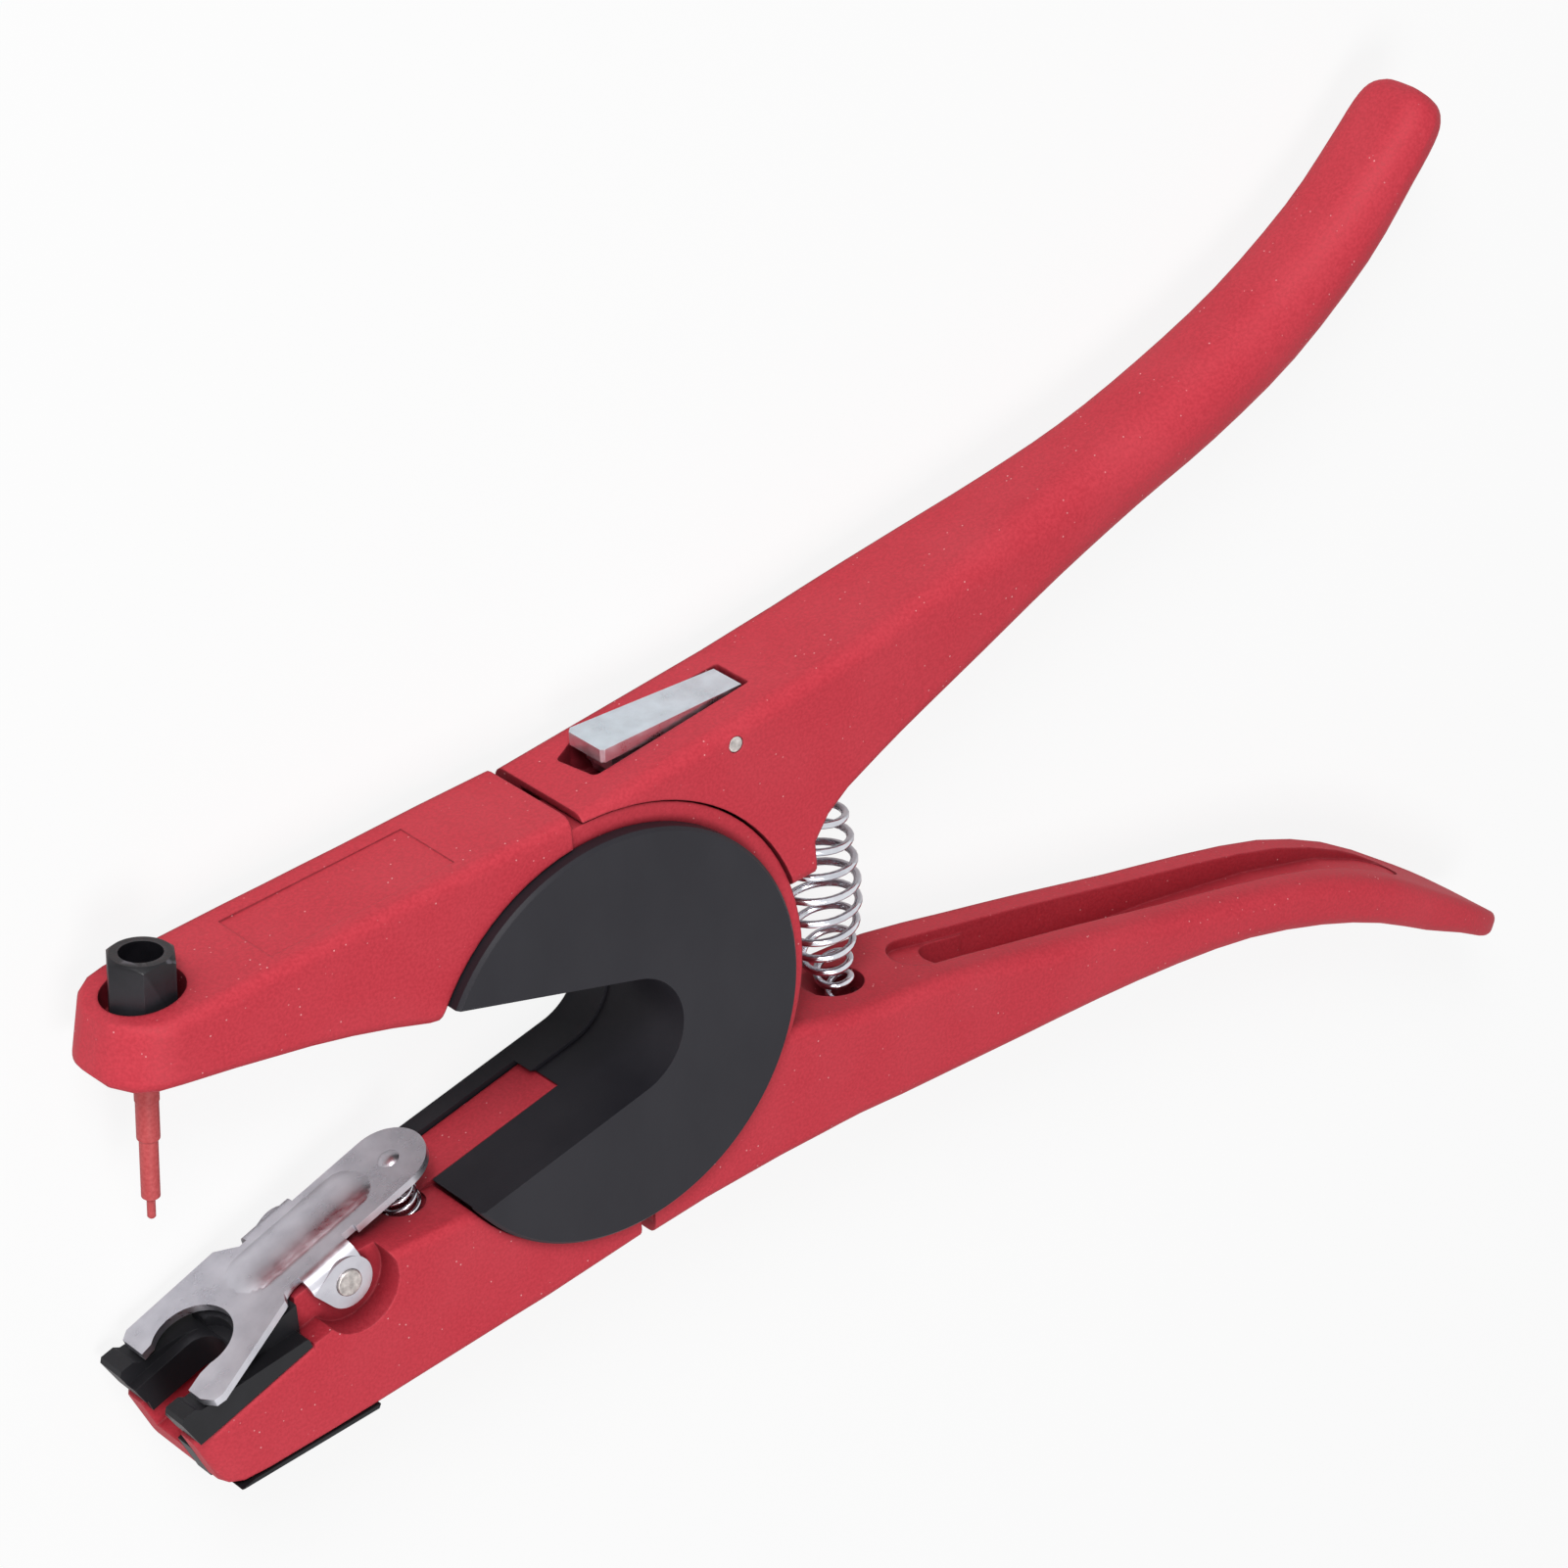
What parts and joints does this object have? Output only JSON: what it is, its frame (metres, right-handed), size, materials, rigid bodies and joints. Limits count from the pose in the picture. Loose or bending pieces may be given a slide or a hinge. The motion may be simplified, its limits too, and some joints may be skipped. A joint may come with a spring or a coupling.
{
  "type": "ear tag applicator",
  "caption": "Hand plier with a C-shaped hub, an upper jaw carrying a tag pin and a lower jaw with a sprung tag clip, closed by two curved handles.",
  "frame": {"origin": "where the hub axis, which all three levers turn about, meets the plane of the back cover's outer face", "axes": "+X from the jaws towards the handles along the bisector of the throat, +Z along the hub axis towards the front cover, +Y towards the upper jaw and upper handle"},
  "size_m": [0.2558, 0.1499, 0.0242],
  "materials": {
    "red_coat": "matt fine-speckled red powder coat on cast alloy",
    "red_pin": "matt red coat on a turned steel pin",
    "black_cover": "smooth satin black moulding",
    "black_insert": "black moulded insert",
    "black_nut": "blackened steel",
    "clip_steel": "stamped spring steel, soft satin",
    "latch_metal": "tumbled bright casting",
    "pin_steel": "sheared pin ends",
    "screw_steel": "zinc plated",
    "spring_wire": "bright plated wire"
  },
  "bodies": {
    "frame": {"fixed_lever": "red_coat", "front_cover": "black_cover", "back_cover": "black_cover", "cover_screws": "screw_steel", "applicator_pin": "red_pin", "pin_nut": "black_nut", "main_spring": "spring_wire", "return_spring": "spring_wire"},
    "handle": {"upper_handle": "red_coat", "latch_pin": "pin_steel", "latch_spring": "spring_wire"},
    "jaw": {"lower_jaw": "red_coat", "jaw_insert": "black_insert", "sole_plate": "black_insert", "insert_screw": "screw_steel", "clip_pin": "pin_steel", "clip_spring": "spring_wire"},
    "latch": {"latch_lever": "latch_metal"},
    "clip": {"tag_clip": "clip_steel"}
  },
  "joints": [
    {"name": "handle_squeeze", "type": "hinge", "parent": "frame", "child": "handle", "pos_m": [0, 0, 0.012], "axis": [0, 0, -1], "range_deg": [0, 25], "stiffness_Nm_per_rad": 1.5, "springref_deg": -11.46, "deforming": ["main_spring"]},
    {"name": "jaw_close", "type": "hinge", "parent": "frame", "child": "jaw", "pos_m": [0, 0, 0.012], "axis": [0, 0, -1], "range_deg": [0, 25], "stiffness_Nm_per_rad": 0.3, "springref_deg": -11.46, "deforming": ["return_spring"]},
    {"name": "latch_press", "type": "hinge", "parent": "handle", "child": "latch", "pos_m": [0.0238, 0.036, 0.012], "axis": [0, 0, 1], "range_deg": [0, 6], "stiffness_Nm_per_rad": 0.05, "springref_deg": -8.59, "deforming": ["latch_spring"]},
    {"name": "clip_open", "type": "hinge", "parent": "jaw", "child": "clip", "pos_m": [-0.045, -0.0217, 0.012], "axis": [0, 0, -1], "range_deg": [0, 12], "stiffness_Nm_per_rad": 0.2, "springref_deg": -8.59, "deforming": ["clip_spring"]}
  ],
  "couplings": [
    {"joint": "jaw_close", "follows": "handle_squeeze", "ratio": 1}
  ]
}
